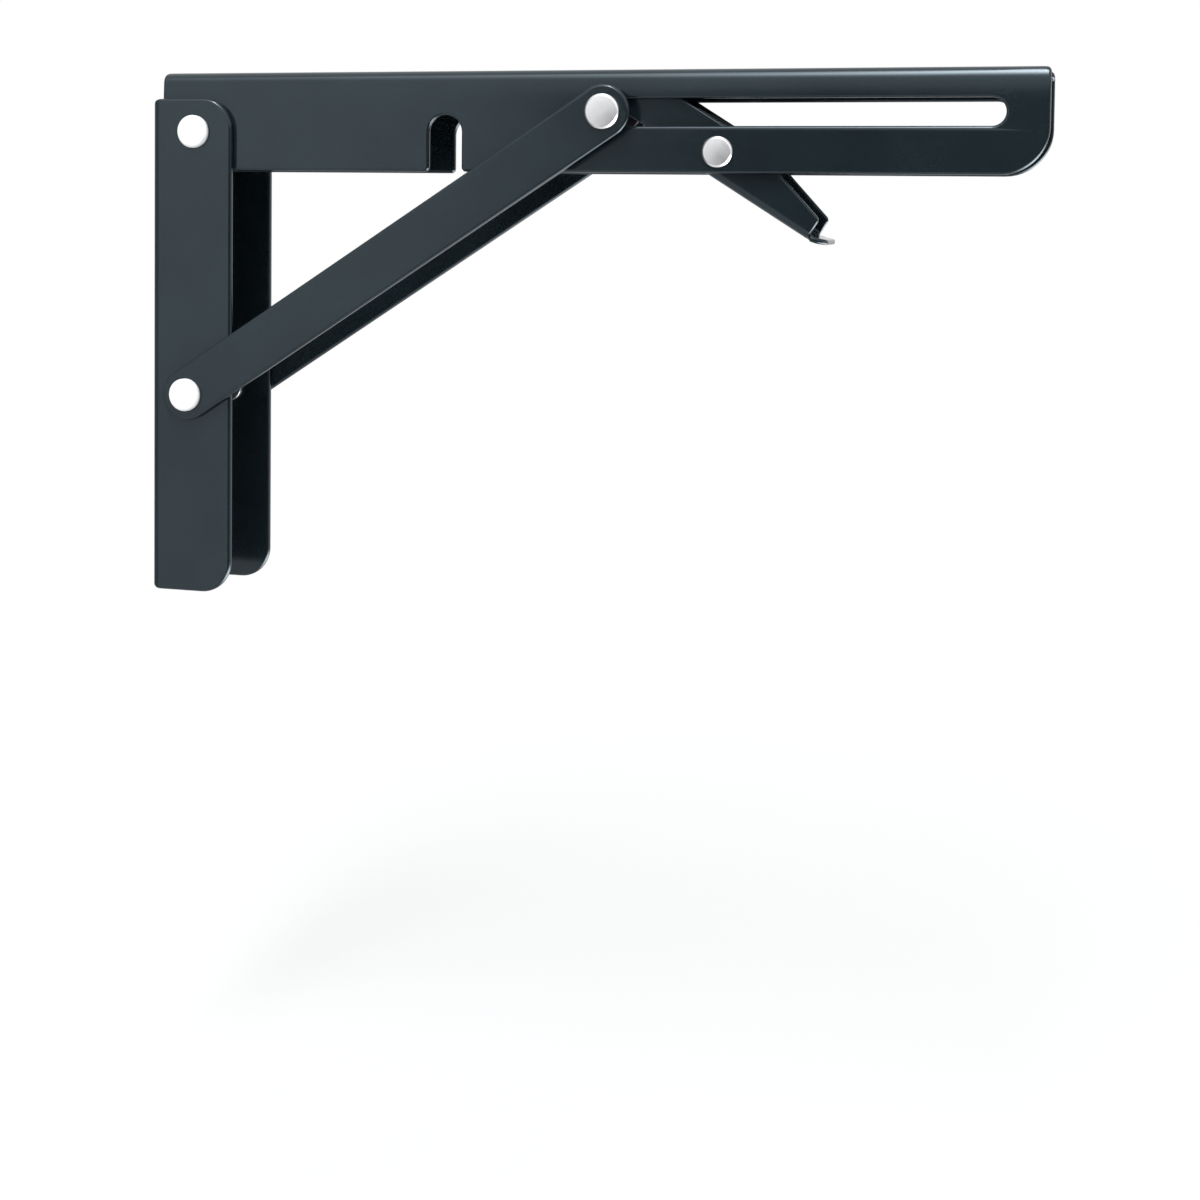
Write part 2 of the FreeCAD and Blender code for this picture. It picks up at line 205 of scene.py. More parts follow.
class SpringSizes(bpy.types.PropertyGroup):
    """Sizes of the lever's torsion spring."""

    wire: length("Wire", "Diameter of the wire", 1.0)
    play: length("Coil play", "Gap between the coil and the rivet", 0.4)
    pitch: length("Pitch", "Distance between the coil's turns", 1.15)
    turns: whole_number("Turns", "Whole turns of the coil", 4)
    web_leg: length("Web leg", "Reach of the leg that lies on the lever's web", 17.0)
    arm_leg: length("Arm leg", "Reach along the arm of the leg that hooks into its flange", 21.0)
    arm_rise: length("Arm leg rise", "Height of that hook above the lever's pivot", 4.3)
    hook_hole: length("Hook hole", "Diameter of the hole that the hook goes into", 1.8)
    hook_depth: length("Hook depth", "How far the hook goes into the flange", 1.6)
    hook_bend: length("Hook bend", "Radius to which the hook is bent", 1.5)
    gap: length("Leg gap", "Gap between the lever's web and the leg that lies on it", 0.05)
    steps: whole_number("Steps a turn", "Points along one turn", 40, 8)


class FinishColours(bpy.types.PropertyGroup):
    """Colours and gloss of the finishes."""

    coating: colour("Coating", "Colour of the black coating", (0.0088, 0.0142, 0.0170))
    coating_gloss: colour("Coating gloss", "Tint of the coating's reflections", (0.76, 0.90, 1.00))
    coating_roughness: share("Coating roughness", "Roughness of the coating", 0.13)
    nickel: colour("Nickel", "Colour of the plated rivets", (0.95, 0.955, 0.955))
    nickel_roughness: share("Nickel roughness", "Roughness of the plated rivets", 0.32)
    # The pin's colour is near black: partly unplated steel, partly painted shade for the shaded slot it sits
    # in
    pin: colour("Pin", "Colour of the dull sliding pin and its collars", (0.06, 0.062, 0.066))
    wire: colour("Wire", "Colour of the spring wire", (0.42, 0.43, 0.44))


class StageSettings(bpy.types.PropertyGroup):
    """Camera, surroundings and floor."""

    camera: bpy.props.FloatVectorProperty(
        name="Camera", description="Place of the camera", default=(0.27471, -0.52125, 0.03993),
        unit="LENGTH", subtype="TRANSLATION", size=3, precision=5,
    )
    yaw: angle("Yaw", "How far the camera looks to the left of straight ahead", 15.424)
    pitch: angle("Pitch", "How far the camera looks up", -2.590)
    roll: angle("Roll", "How far the camera leans", 0.659)
    lens: bpy.props.FloatProperty(name="Lens", description="Focal length in millimetres", default=58.38)
    shift: bpy.props.FloatProperty(name="Shift", description="Vertical shift of the picture", default=-0.25)
    bright: colour("Surroundings", "Colour of the white studio round the object", (0.98, 0.99, 1.0))
    overhead: share("Overhead light", "How many times brighter the studio is straight above", 24.0, 40.0)
    overhead_from: angle("Overhead light, start", "Elevation from which the studio grows brighter", 5.0)
    overhead_full: angle("Overhead light, full", "Elevation from which the overhead light is full", 72.0)
    overhead_left: angle("Overhead light, left", "Left border, from straight ahead of the object", -41.0)
    overhead_right: angle("Overhead light, right", "Right border of the overhead light", 10.0)
    low_light: share("Low light", "How much brighter the studio is low down on the right", 9.0, 40.0)
    lower_half: share("Lower half", "Brightness of the studio below level", 0.78)
    wall_side: share("Wall side", "Brightness of the studio behind the wall channel", 0.3)
    dark: colour("Dark side", "Colour of the studio's unlit part, on the camera's side", (0.05, 0.055, 0.06))
    dark_left: angle("Dark side, left", "Left border, from straight ahead of the object", -16.0)
    dark_right: angle("Dark side, right", "Right border of the dark side", 72.0)
    dark_bottom: angle("Dark side, bottom", "Lower border of the dark side", -32.0)
    dark_top: angle("Dark side, top", "Upper border of the dark side", 8.5)
    soft: angle("Softness", "Width over which the dark side's upper border fades", 4.0)
    floor: colour("Floor", "Colour of the floor", (0.6, 0.6, 0.6))
    floor_drop: length("Floor drop", "Distance of the floor below the object", 135.0)
    white_from: length("White from", "Distance at which the floor starts to turn pure white", 400.0)
    white_full: length("White full", "Distance from which the floor is pure white", 1400.0)
    white_near: share("White nearby", "Share of pure white in the floor under the object", 0.5)


GROUPS = {
    "sheet": SheetSizes,
    "wall": WallSizes,
    "arm": ArmSizes,
    "strut": StrutSizes,
    "rivets": RivetSizes,
    "lever": LeverSizes,
    "spring": SpringSizes,
    "finish": FinishColours,
    "stage": StageSettings,
}


class BracketSettings(bpy.types.PropertyGroup):
    """Everything that a user can change about the bracket."""

    __annotations__ = {
        key: bpy.props.PointerProperty(type=group, name=key.title(), description=group.__doc__)
        for key, group in GROUPS.items()
    }


# Outlines and folded sheet


def arc_points(start, corner, end, radius):
    """Points of the arc that rounds a corner, from its first to its last touching point."""
    back = (start - corner).normalized()
    ahead = (end - corner).normalized()
    if radius <= 0:
        return [corner.copy()]
    half = back.angle(ahead) / 2
    reach = radius / math.tan(half)
    centre = corner + (back + ahead).normalized() * (radius / math.sin(half))
    first = corner + back * reach - centre
    last = corner + ahead * reach - centre
    turn = first.angle_signed(last)
    count = max(2, math.ceil(abs(turn) / CORNER_STEP))
    return [centre + Matrix.Rotation(-turn * number / count, 2) @ first for number in range(count + 1)]


def rounded(corners):
    """Closed outline through corners (x, y, radius), with each corner rounded by its radius."""
    places = [Vector(corner[:2]) for corner in corners]
    points = []
    for number, (_, _, radius) in enumerate(corners):
        points += arc_points(places[number - 1], places[number], places[(number + 1) % len(places)], radius)
    return points


def circle(x, y, radius, steps=48):
    """Closed round outline."""
    turns = (math.tau * number / steps for number in range(steps))
    return [Vector((x + radius * math.cos(turn), y + radius * math.sin(turn))) for turn in turns]


def stadium(x_from, x_to, y, radius):
    """Closed outline with two straight sides and two round ends."""
    return rounded([
        (x_from - radius, y - radius, radius),
        (x_to + radius, y - radius, radius),
        (x_to + radius, y + radius, radius),
        (x_from - radius, y + radius, radius),
    ])


def mirrored(corners):
    """The same corners on the other side of the sheet's middle line, in the order that closes an outline."""
    return [(x, -y, radius) for x, y, radius in reversed(corners)]


def add_object(name, data):
    """New object in the scene, at the origin."""
    made = bpy.data.objects.new(name, data)
    bpy.context.scene.collection.objects.link(made)
    return made


def draw(curve, points, closed=False):
    """Adds a line through points (x, y, z) to a curve."""
    spline = curve.splines.new("POLY")
    spline.points.add(len(points) - 1)
    spline.points.foreach_set("co", [value for point in points for value in (*point, 1)])
    spline.use_cyclic_u = closed


def mesh_of(carrier):
    """Plain mesh of an object with its modifiers, after which the object is removed."""
    bpy.context.view_layer.update()
    graph = bpy.context.evaluated_depsgraph_get()
    mesh = bpy.data.meshes.new_from_object(carrier.evaluated_get(graph), depsgraph=graph)
    bpy.data.objects.remove(carrier)
    return mesh


def cut_blank(name, outlines, thickness, edge):
    """Flat sheet with rounded cut edges. The first outline is its border and the others are its holes."""
    curve = bpy.data.curves.new(name, "CURVE")
    curve.dimensions = "2D"
    curve.fill_mode = "BOTH"
    curve.extrude = thickness / 2 - edge
    curve.bevel_depth = edge
    curve.bevel_resolution = 2
    curve.offset = -edge
    for outline in outlines:
        draw(curve, [(x, y, 0) for x, y in outline], closed=True)
    mesh = mesh_of(add_object(name, curve))
    blank = bmesh.new()
    blank.from_mesh(mesh)
    bpy.data.meshes.remove(mesh)
    bmesh.ops.remove_doubles(blank, verts=blank.verts, dist=TOUCHING)
    return blank


def score(blank, places, direction):
    """Cuts new edges across a blank, so that it can bend there."""
    for place in places:
        bmesh.ops.bisect_plane(
            blank,
            geom=[*blank.verts, *blank.edges, *blank.faces],
            dist=TOUCHING / 10,
            plane_co=direction * place,
            plane_no=direction,
        )


class Fold:
    """Path that a sheet's middle layer follows: straight runs and bends, from the middle outwards."""

    def __init__(self, *runs):
        self.runs = runs
        self.total = sum(run for run, _ in runs)

    def marks(self, steps=8):
        """Distances at which the sheet needs an edge to bend well."""
        places = []
        done = 0.0
        for run, turn in self.runs:
            if turn:
                count = max(3, math.ceil(steps * turn / (math.pi / 2)))
                places += [done + run * number / count for number in range(count + 1)]
            done += run
        return places

    def place(self, distance, outwards):
        """Where a point of the flat sheet goes: (away from the middle, towards the fold)."""
        x, y, heading, left = 0.0, 0.0, 0.0, distance
        for number, (run, turn) in enumerate(self.runs):
            last = number == len(self.runs) - 1
            step = left if last else min(left, run)
            bend = turn * step / run
            if turn:
                radius = run / turn
                x += radius * (math.sin(heading + bend) - math.sin(heading))
                y += radius * (math.cos(heading) - math.cos(heading + bend))
            else:
                x += step * math.cos(heading)
                y += step * math.sin(heading)
            heading += bend
            left -= step
            if left <= 0:
                break
        return x + outwards * math.sin(heading), y - outwards * math.cos(heading)


def fold_up(blank, fold, place):
    """Bends a blank along both halves of a fold. place turns (along, across, inwards) into a point."""
    score(blank, [side * mark for mark in fold.marks() for side in SIDES], ACROSS)
    for vertex in blank.verts:
        along, across, outwards = vertex.co
        away, inwards = fold.place(abs(across), outwards)
        vertex.co = place(along, math.copysign(away, across), inwards)


def channel_fold(width, depth, thickness, bend, lean=None):
    """Fold of half a channel's section. lean is (how far in, down to what depth, rounding) or None."""
    outside = bend + thickness
    middle = bend + thickness / 2
    right = math.pi / 2
    if lean is None:
        return Fold((width / 2 - outside, 0), (middle * right, right), (depth - outside, 0))
    step, start, rounding = lean
    tilt = math.atan2(step, start)
    tangent = outside * math.tan((right - tilt) / 2)
    soft = rounding * math.tan(tilt / 2)
    return Fold(
        (width / 2 - step - tangent, 0),
        (middle * (right - tilt), right - tilt),
        (math.hypot(step, start) - tangent - soft, 0),
        ((rounding - thickness / 2) * tilt, tilt),
        (depth - start - soft, 0),
    )


def coat(node, body, sheet, settings):
    """Turns a sheet into a coated piece in a node's place, shaded so that its flats stay flat."""
    bmesh.ops.recalc_face_normals(sheet, faces=sheet.faces)
    if sheet.calc_volume(signed=True) < 0:
        bmesh.ops.reverse_faces(sheet, faces=sheet.faces)
    mesh = bpy.data.meshes.new(node + "_coated")
    sheet.to_mesh(mesh)
    sheet.free()
    mesh.shade_smooth()
    mesh.materials.append(material("satin_black", settings))
    piece = add_object(mesh.name, mesh)
    smoothing = piece.modifiers.new("Flat faces", "WEIGHTED_NORMAL")
    smoothing.mode = "FACE_AREA"
    smoothing.weight = 80
    seat(piece, body, "black_coating", node)


def seat(piece, body, slot, *nodes):
    """Makes a piece ride on its body, in the place of the nodes that it stands for."""
    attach(piece, body)
    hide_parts(*nodes)


def round_ends(sheet, along, depth_of, low, high, rounding):
    """Rounds a channel's two ends where its web meets them, as seen from the side."""
    for vertex in sheet.verts:
        depth = depth_of(vertex.co)
        if depth < rounding:
            back = rounding - math.sqrt(rounding ** 2 - (rounding - depth) ** 2)
            vertex.co[along] = min(max(vertex.co[along], low + back), high - back)
    bmesh.ops.remove_doubles(sheet, verts=sheet.verts, dist=TOUCHING)


# Nodes and materials


class Socket:
    """A node's output that can be written in sums and products."""

    def __init__(self, nodes, link):
        self.nodes = nodes
        self.link = link

    def math(self, operation, *values):
        return self.nodes.add("ShaderNodeMath", {"operation": operation}, dict(enumerate(values)))

    def __add__(self, other):
        return self.math("ADD", self, other)

    def __sub__(self, other):
        return self.math("SUBTRACT", self, other)

    def __rsub__(self, other):
        return self.math("SUBTRACT", other, self)

    def __mul__(self, other):
        return self.math("MULTIPLY", self, other)

    __radd__ = __add__
    __rmul__ = __mul__


class Nodes:
    """Node tree that is built up by calls."""

    def __init__(self, tree):
        self.tree = tree

    def add(self, kind, settings=None, inputs=None, output=0):
        """Adds a node, sets it up, fills its sockets and returns one of its outputs."""
        made = self.tree.nodes.new(kind)
        for key, value in (settings or {}).items():
            setattr(made, key, value)
        for key, value in (inputs or {}).items():
            if isinstance(value, Socket):
                self.tree.links.new(value.link, made.inputs[key])
            else:
                made.inputs[key].default_value = value
        return Socket(self, made.outputs[output]) if made.outputs else made


class Shader(Nodes):
    """Nodes of a material or the world."""

    def __init__(self, owner):
        owner.use_nodes = True
        super().__init__(owner.node_tree)
        self.tree.nodes.clear()

    def ramp(self, value, low, high, start=0.0, end=1.0):
        """Smooth step of a value from low to high."""
        return self.add(
            "ShaderNodeMapRange",
            {"interpolation_type": "SMOOTHSTEP"},
            {"Value": value, "From Min": low, "From Max": high, "To Min": start, "To Max": end},
        )

    def band(self, value, low, low_fade, high, high_fade):
        """One between low and high and nothing beyond, fading to both sides of each border."""
        inside = self.ramp(value, low - low_fade, low + low_fade)
        return inside * (1.0 - self.ramp(value, high - high_fade, high + high_fade))

    def blend(self, share_of_second, first, second):
        """Mix of two colours."""
        return self.add(
            "ShaderNodeMix",
            {"data_type": "RGBA"},
            {"Factor": share_of_second, 6: first, 7: second},
            output=2,
        )

    def noise(self, place, waves, detail):
        """Cloudy value between nothing and one, of that many waves a metre."""
        return self.add("ShaderNodeTexNoise", {}, {"Vector": place, "Scale": waves, "Detail": detail})

    def bump(self, height, strength):
        """Relief of a few hundredths of a millimetre."""
        return self.add("ShaderNodeBump", {}, {"Strength": strength, "Distance": 0.03 * MM, "Height": height})

    def place(self):
        """Place on the object, in metres."""
        return self.add("ShaderNodeTexCoord", output=3)

    def surface(self, inputs):
        """Surface with those socket values, as the material's end."""
        skin = self.add("ShaderNodeBsdfPrincipled", {}, inputs)
        self.add("ShaderNodeOutputMaterial", {}, {"Surface": skin})


def shaded(rgb, factor):
    """A colour made lighter or darker, with its fourth value."""
    return (*(min(1.0, value * factor) for value in rgb), 1.0)


def coating_material(finish):
    """Satin black coating with a faint orange peel and slightly uneven gloss."""
    material = bpy.data.materials.new("satin_black")
    shader = Shader(material)
    place = shader.place()
    clouds = shader.noise(place, waves=38.0, detail=3.0)
    peel = shader.noise(place, waves=900.0, detail=1.0)
    grit = shader.noise(place, waves=4200.0, detail=2.0)
    tone = shader.ramp(clouds + 0.25 * (grit - 0.5), 0.3, 0.7)
    base = shader.blend(tone, shaded(finish.coating, 0.86), shaded(finish.coating, 1.14))
    gloss = finish.coating_roughness + 0.05 * (clouds - 0.5) + 0.05 * (grit - 0.5)
    shader.surface({
        "Base Color": base,
        "Roughness": gloss,
        "IOR": 1.56,
        "Specular Tint": (*finish.coating_gloss, 1.0),
        "Normal": shader.bump(peel + 0.35 * grit, strength=0.10),
    })
    return material


def steel_material(name, tint, waves, contrast, roughness, spread, dents=None):
    """Steel whose tone and gloss vary about their middle values, with that many waves a metre."""
    material = bpy.data.materials.new(name)
    shader = Shader(material)
    place = shader.place()
    stain = shader.noise(place, waves, detail=3.0)
    inputs = {
        "Base Color": shader.blend(stain, shaded(tint, 1 - contrast), shaded(tint, 1 + contrast)),
        "Metallic": 1.0,
        "Roughness": roughness + spread * (stain - 0.5),
    }
    if dents:
        inputs["Normal"] = shader.bump(shader.noise(place, dents, detail=1.0), strength=0.12)
    shader.surface(inputs)
    return material


def nickel_material(finish):
    """Bright plated steel, faintly mottled, with the small dents of riveting."""
    gloss = finish.nickel_roughness
    return steel_material("bright_nickel", finish.nickel, 700.0, 0.05, gloss, spread=0.10, dents=1500.0)


def pin_material_painted_shade(finish):
    """Dull steel of the sliding pin, made near black as painted shade for the slot it sits in; also the
    painted shade on the rivets' inner heads.
    """
    return steel_material("steel_darkened_for_shade", finish.pin, 1100.0, contrast=0.4, roughness=0.45, spread=0.2)


def wire_material(finish):
    """Drawn spring wire, grey, with fine streaks."""
    return steel_material("drawn_wire", finish.wire, 2600.0, contrast=0.2, roughness=0.36, spread=0.12)


MATERIALS = {
    "satin_black": coating_material,
    "bright_nickel": nickel_material,
    "steel_darkened_for_shade": pin_material_painted_shade,
    "drawn_wire": wire_material,
}


def material(name, settings):
    """The finish of that name, made when it is first asked for."""
    return bpy.data.materials.get(name) or MATERIALS[name](settings.finish)


# Geometry Nodes


class GeometryNodes(Nodes):
    """Geometry Nodes tree with named inputs."""

    def __init__(self, name, sizes):
        super().__init__(bpy.data.node_groups.new(name, "GeometryNodeTree"))
        interface = self.tree.interface
        for way in ("INPUT", "OUTPUT"):
            interface.new_socket("Geometry", in_out=way, socket_type="NodeSocketGeometry")
        self.sockets = {}
        for key, (kind, default) in sizes.items():
            socket = interface.new_socket(key, in_out="INPUT", socket_type="NodeSocket" + kind)
            if default is not None:
                socket.default_value = default
            self.sockets[key] = socket.identifier
        self.entry = self.tree.nodes.new("NodeGroupInput")

    def asked(self, key):
        """The group's input of that name."""
        return Socket(self, self.entry.outputs[key])

    def end(self, geometry):
        """Realises instances, sets smooth shading and the material, and closes the tree."""
        real = self.add("GeometryNodeRealizeInstances", {}, {0: geometry})
        smooth = self.add("GeometryNodeSetShadeSmooth", {}, {0: real})
        painted = self.add(
            "GeometryNodeSetMaterial", {}, {"Geometry": smooth, "Material": self.asked("Finish")}
        )
        self.add("NodeGroupOutput", {}, {0: painted})

    def run(self, name, points, values):
        """New object with the plain mesh that the tree makes of a line through points."""
        line = bpy.data.curves.new(name, "CURVE")
        line.dimensions = "3D"
        draw(line, points)
        carrier = add_object(name + "_line", line)
        modifier = carrier.modifiers.new(self.tree.name, "NODES")
        modifier.node_group = self.tree
        for key, value in values.items():
            modifier[self.sockets[key]] = value
        mesh = mesh_of(carrier)
        mesh.name = name
        return add_object(name, mesh)


def turning_tree():
    """Tree that turns an outline, drawn as (radius, height), and stands it on both sides of the bracket."""
    tree = GeometryNodes("Turned pieces", {
        "Pivot": ("Vector", None),
        "Both Sides": ("Bool", True),
        "Edge Rounding": ("Float", 0.12 * MM),
        "Steps Round": ("Int", 96),
        "Finish": ("Material", None),
    })
    soft = tree.add("GeometryNodeFilletCurve", {"mode": "POLY"}, {
        "Curve": tree.asked("Geometry"),
        "Count": 3,
        "Radius": tree.asked("Edge Rounding"),
        "Limit Radius": True,
    })
    # The ring is as good as a point, and the poles are closed
    ring = tree.add(
        "GeometryNodeCurvePrimitiveCircle", {}, {"Resolution": tree.asked("Steps Round"), "Radius": TOUCHING}
    )
    skin = tree.add("GeometryNodeCurveToMesh", {}, {"Curve": ring, "Profile Curve": soft})
    outside = tree.add("GeometryNodeFlipFaces", {}, {"Mesh": skin})
    whole = tree.add("GeometryNodeMergeByDistance", {}, {"Geometry": outside, "Distance": 4 * TOUCHING})
    # One copy looks to the left and the other to the right
    seats = tree.add(
        "GeometryNodeSwitch",
        {"input_type": "INT"},
        {"Switch": tree.asked("Both Sides"), "False": 1, "True": 2},
    )
    line = tree.add("GeometryNodeMeshLine", {}, {"Count": seats, "Offset": (0, 0, 0)})
    half_turn = tree.add("GeometryNodeInputIndex") * math.pi - math.pi / 2
    tilt = tree.add("ShaderNodeCombineXYZ", {}, {"X": half_turn})
    stood = tree.add(
        "GeometryNodeInstanceOnPoints", {}, {"Points": line, "Instance": whole, "Rotation": tilt}
    )
    tree.end(tree.add(
        "GeometryNodeTransform", {}, {"Geometry": stood, "Translation": tree.asked("Pivot")}
    ))
    return tree


def wire_tree():
    """Tree that lays round wire along a line."""
    tree = GeometryNodes("Round wire", {
        "Wire Diameter": ("Float", 1.0 * MM),
        "Sides": ("Int", 16),
        "Finish": ("Material", None),
    })
    ring = tree.add(
        "GeometryNodeCurvePrimitiveCircle",
        {},
        {"Resolution": tree.asked("Sides"), "Radius": tree.asked("Wire Diameter") * 0.5},
    )
    tree.end(tree.add(
        "GeometryNodeCurveToMesh",
        {},
        {"Curve": tree.asked("Geometry"), "Profile Curve": ring, "Fill Caps": True},
    ))
    return tree


# Operators


class BRACKET_OT_wall_channel(bpy.types.Operator):
    """Fold the upright channel that is screwed to the wall"""

    bl_idname = "bracket.wall_channel"
    bl_label = "Wall Channel"

    def execute(self, context):
        settings = context.scene.bracket
        sheet, wall = settings.sheet, settings.wall
        depth = WALL_HIGH.x - WALL_LOW.x
        fold = channel_fold(WALL_HIGH.y - WALL_LOW.y, depth, sheet.thickness, sheet.bend)
        edge = [(WALL_LOW.z, fold.total, wall.corner), (WALL_HIGH.z, fold.total, wall.corner)]
        outlines = [rounded(mirrored(edge) + edge)]
        for side in SIDES:
            for pivot in (ARM_PIVOT, STRUT_FOOT):
                across = fold.total - (depth - pivot.x)
                outlines.append(circle(pivot.z, side * across, sheet.shank / 2))
        for number in range(wall.screw_count):
            along = (number - (wall.screw_count - 1) / 2) * wall.screw_pitch
            outlines.append(circle(along, 0, sheet.screw_hole / 2))
        blank = cut_blank("wall_channel", outlines, sheet.thickness, sheet.cut_edge)
        back = sheet.thickness / 2
        fold_up(blank, fold, lambda along, across, inwards: (inwards + back, across, along))
        round_ends(blank, 2, lambda co: co.x, WALL_LOW.z, WALL_HIGH.z, wall.end_rounding)
        coat("wall_channel", "wall", blank, settings)
        return {"FINISHED"}


class BRACKET_OT_top_arm(bpy.types.Operator):
    """Fold the arm that carries the leaf"""

    bl_idname = "bracket.top_arm"
    bl_label = "Arm"

    def execute(self, context):
        settings = context.scene.bracket
        sheet, arm = settings.sheet, settings.arm
        depth = ARM_HIGH.z - ARM_LOW.z
        width = ARM_HIGH.y - ARM_LOW.y
        lean = (arm.lean, arm.lean_depth, arm.lean_rounding)
        fold = channel_fold(width, depth, sheet.thickness, sheet.bend, lean)

        def flange(z):
            """Place on the flat blank of a point of the flange at that height."""
            return fold.total - (z - ARM_LOW.z)

        half = arm.notch_width / 2
        notch_x = ARM_PIVOT.x + ARM_PIVOT.z - STRUT_FOOT.z
        notch_top = flange(ARM_PIVOT.z + STRUT_FOOT.x - ARM_PIVOT.x + arm.notch_spare + half)
        web_half = width / 2 - arm.lean - sheet.bend - sheet.thickness
        edge = [
            (ARM_HIGH.x - arm.recess, web_half, arm.recess / 2),
            (ARM_HIGH.x, web_half, 2 * sheet.cut_edge),
            (ARM_HIGH.x, fold.total, arm.nose),
            (notch_x + half, fold.total, arm.notch_flare),
            (notch_x + half, notch_top, half),
            (notch_x - half, notch_top, half),
            (notch_x - half, fold.total, arm.notch_flare),
            (ARM_LOW.x, fold.total, arm.heel),
        ]
        outlines = [rounded(edge + mirrored(edge))]
        slot_ends = (STRUT_HEAD.x, STRUT_HEAD.x + arm.slot_travel)
        shank = sheet.shank / 2
        for side in SIDES:
            outlines += [
                stadium(*slot_ends, side * flange(STRUT_HEAD.z), arm.slot_width / 2),
                circle(ARM_PIVOT.x, side * flange(ARM_PIVOT.z), shank + sheet.pivot_play),
                circle(LEVER_PIVOT.x, side * flange(LEVER_PIVOT.z), shank),
            ]
        spring = settings.spring
        hook_x = LEVER_PIVOT.x + spring.arm_leg
        hook_y = flange(LEVER_PIVOT.z + spring.arm_rise)
        outlines.append(circle(hook_x, hook_y, spring.hook_hole / 2, steps=24))
        for x in (arm.hole_near, arm.hole_middle, arm.hole_far):
            outlines.append(circle(x, 0, sheet.screw_hole / 2))
        blank = cut_blank("top_arm", outlines, sheet.thickness, sheet.cut_edge)
        top = ARM_HIGH.z - sheet.thickness / 2
        fold_up(blank, fold, lambda along, across, down: (along, across, top - down))
        round_ends(blank, 0, lambda co: ARM_HIGH.z - co.z, ARM_LOW.x, ARM_HIGH.x, arm.end_rounding)
        coat("top_arm", "arm", blank, settings)
        return {"FINISHED"}


class BRACKET_OT_strut_bars(bpy.types.Operator):
    """Cut the two flat bars of the strut"""

    bl_idname = "bracket.strut_bars"
    bl_label = "Strut Bars"

    def execute(self, context):
        settings = context.scene.bracket
        sheet = settings.sheet
        foot = Vector((STRUT_FOOT.x, STRUT_FOOT.z))
        head = Vector((STRUT_HEAD.x, STRUT_HEAD.z))
        run = (head - foot).length
        along = (head - foot).normalized()
        middle = (BAR_LOW.y + BAR_HIGH.y) / 2
        for name, side in (("left", 1), ("right", -1)):
            outlines = [
                stadium(0, run, 0, settings.strut.width / 2),
                circle(0, 0, sheet.shank / 2 + sheet.pivot_play),
                circle(run, 0, sheet.shank / 2),
            ]
            bar = cut_blank("strut_bar", outlines, sheet.thickness, sheet.cut_edge)
            for vertex in bar.verts:
                far, wide, outwards = vertex.co
                x = foot.x + far * along.x - wide * along.y
                z = foot.y + far * along.y + wide * along.x
                vertex.co = (x, side * (middle + outwards), z)
            coat("strut_bar_" + name, "strut", bar, settings)
        return {"FINISHED"}


class BRACKET_OT_release_lever(bpy.types.Operator):
    """Fold the release lever with its finger tab"""

    bl_idname = "bracket.release_lever"
    bl_label = "Release Lever"

    def execute(self, context):
        settings = context.scene.bracket
        sheet, lever, rivets = settings.sheet, settings.lever, settings.rivets
        half_width = LEVER_HIGH.y
        depth = lever.web_side + lever.open_side
        fold = channel_fold(2 * half_width, depth, lever.thickness, lever.bend)
        curl_radius = lever.tab_radius + lever.thickness / 2
        curl_from = lever.reach + lever.tab_flat - curl_radius * math.tan(lever.tab_angle / 2)
        curl = Fold((curl_from, 0), (curl_radius * lever.tab_angle, lever.tab_angle), (lever.tab_curl, 0))

        def flange(up):
            """Place on the flat blank of a point of the flange at that height above the pivot."""
            return fold.total - (lever.open_side - up)

        # The heel is an arc about the pivot, cut off above where the lever rests under the arm's bend
        sine, cosine = math.sin(lever.slope), math.cos(lever.slope)
        reach = (LEVER_PIVOT.xz - STRUT_HEAD.xz).length - rivets.pin / 2 - lever.latch_gap
        rise = ARM_HIGH.z - sheet.thickness - sheet.bend - lever.stop_gap - LEVER_PIVOT.z
        back = math.sqrt(reach ** 2 - rise ** 2)
        stop_from = (lever.open_side * cosine - rise) / sine
        arc_top = math.atan2(rise * cosine - back * sine, -back * cosine - rise * sine)
        trim = lever.heel_trim - lever.web_side
        arc_bottom = math.pi + math.asin(-trim / reach)
        arc = []
        steps = 8
        for number in range(steps + 1):
            turn = arc_top + (arc_bottom - arc_top) * number / steps
            arc.append((reach * math.cos(turn), flange(reach * math.sin(turn)), 0))
        web_half = fold.runs[0][0]
        relief_end = lever.reach + lever.relief
        tab_end = curl.total - lever.relief
        edge = [
            (tab_end, half_width, lever.tab_corner),
            (relief_end, half_width, lever.relief / 2),
            (relief_end, web_half, 0),
            (lever.reach, web_half, 0),
            (lever.reach, flange(lever.tip_height - lever.web_side), lever.tip_corner),
            (lever.knee, fold.total, 2 * lever.tip_corner),
            (stop_from, fold.total, 0),
            *arc,
            (-lever.web_setback, flange(trim), lever.thickness / 2),
            (-lever.web_setback, web_half / 2, 0),
        ]
        outlines = [rounded(edge + mirrored(edge))]
        for side in SIDES:
            outlines.append(circle(0, side * flange(0), sheet.shank / 2 + sheet.pivot_play))
        # The lever's thinner sheet has smaller roundings
        blank = cut_blank("release_lever", outlines, lever.thickness, 0.8 * sheet.cut_edge)
        score(blank, [side * mark for mark in fold.marks() for side in SIDES], ACROSS)
        score(blank, curl.marks(steps=24), ALONG)
        for vertex in blank.verts:
            along, across, outwards = vertex.co
            if along > lever.reach + lever.relief / 2:
                away = abs(across)
                along, up = curl.place(along, outwards)
            else:
                away, up = fold.place(abs(across), outwards)
            up += lever.thickness / 2 - lever.web_side
            x = LEVER_PIVOT.x + along * cosine + up * sine
            z = LEVER_PIVOT.z - along * sine + up * cosine
            vertex.co = (x, math.copysign(away, across), z)
        coat("release_lever", "lever", blank, settings)
        return {"FINISHED"}


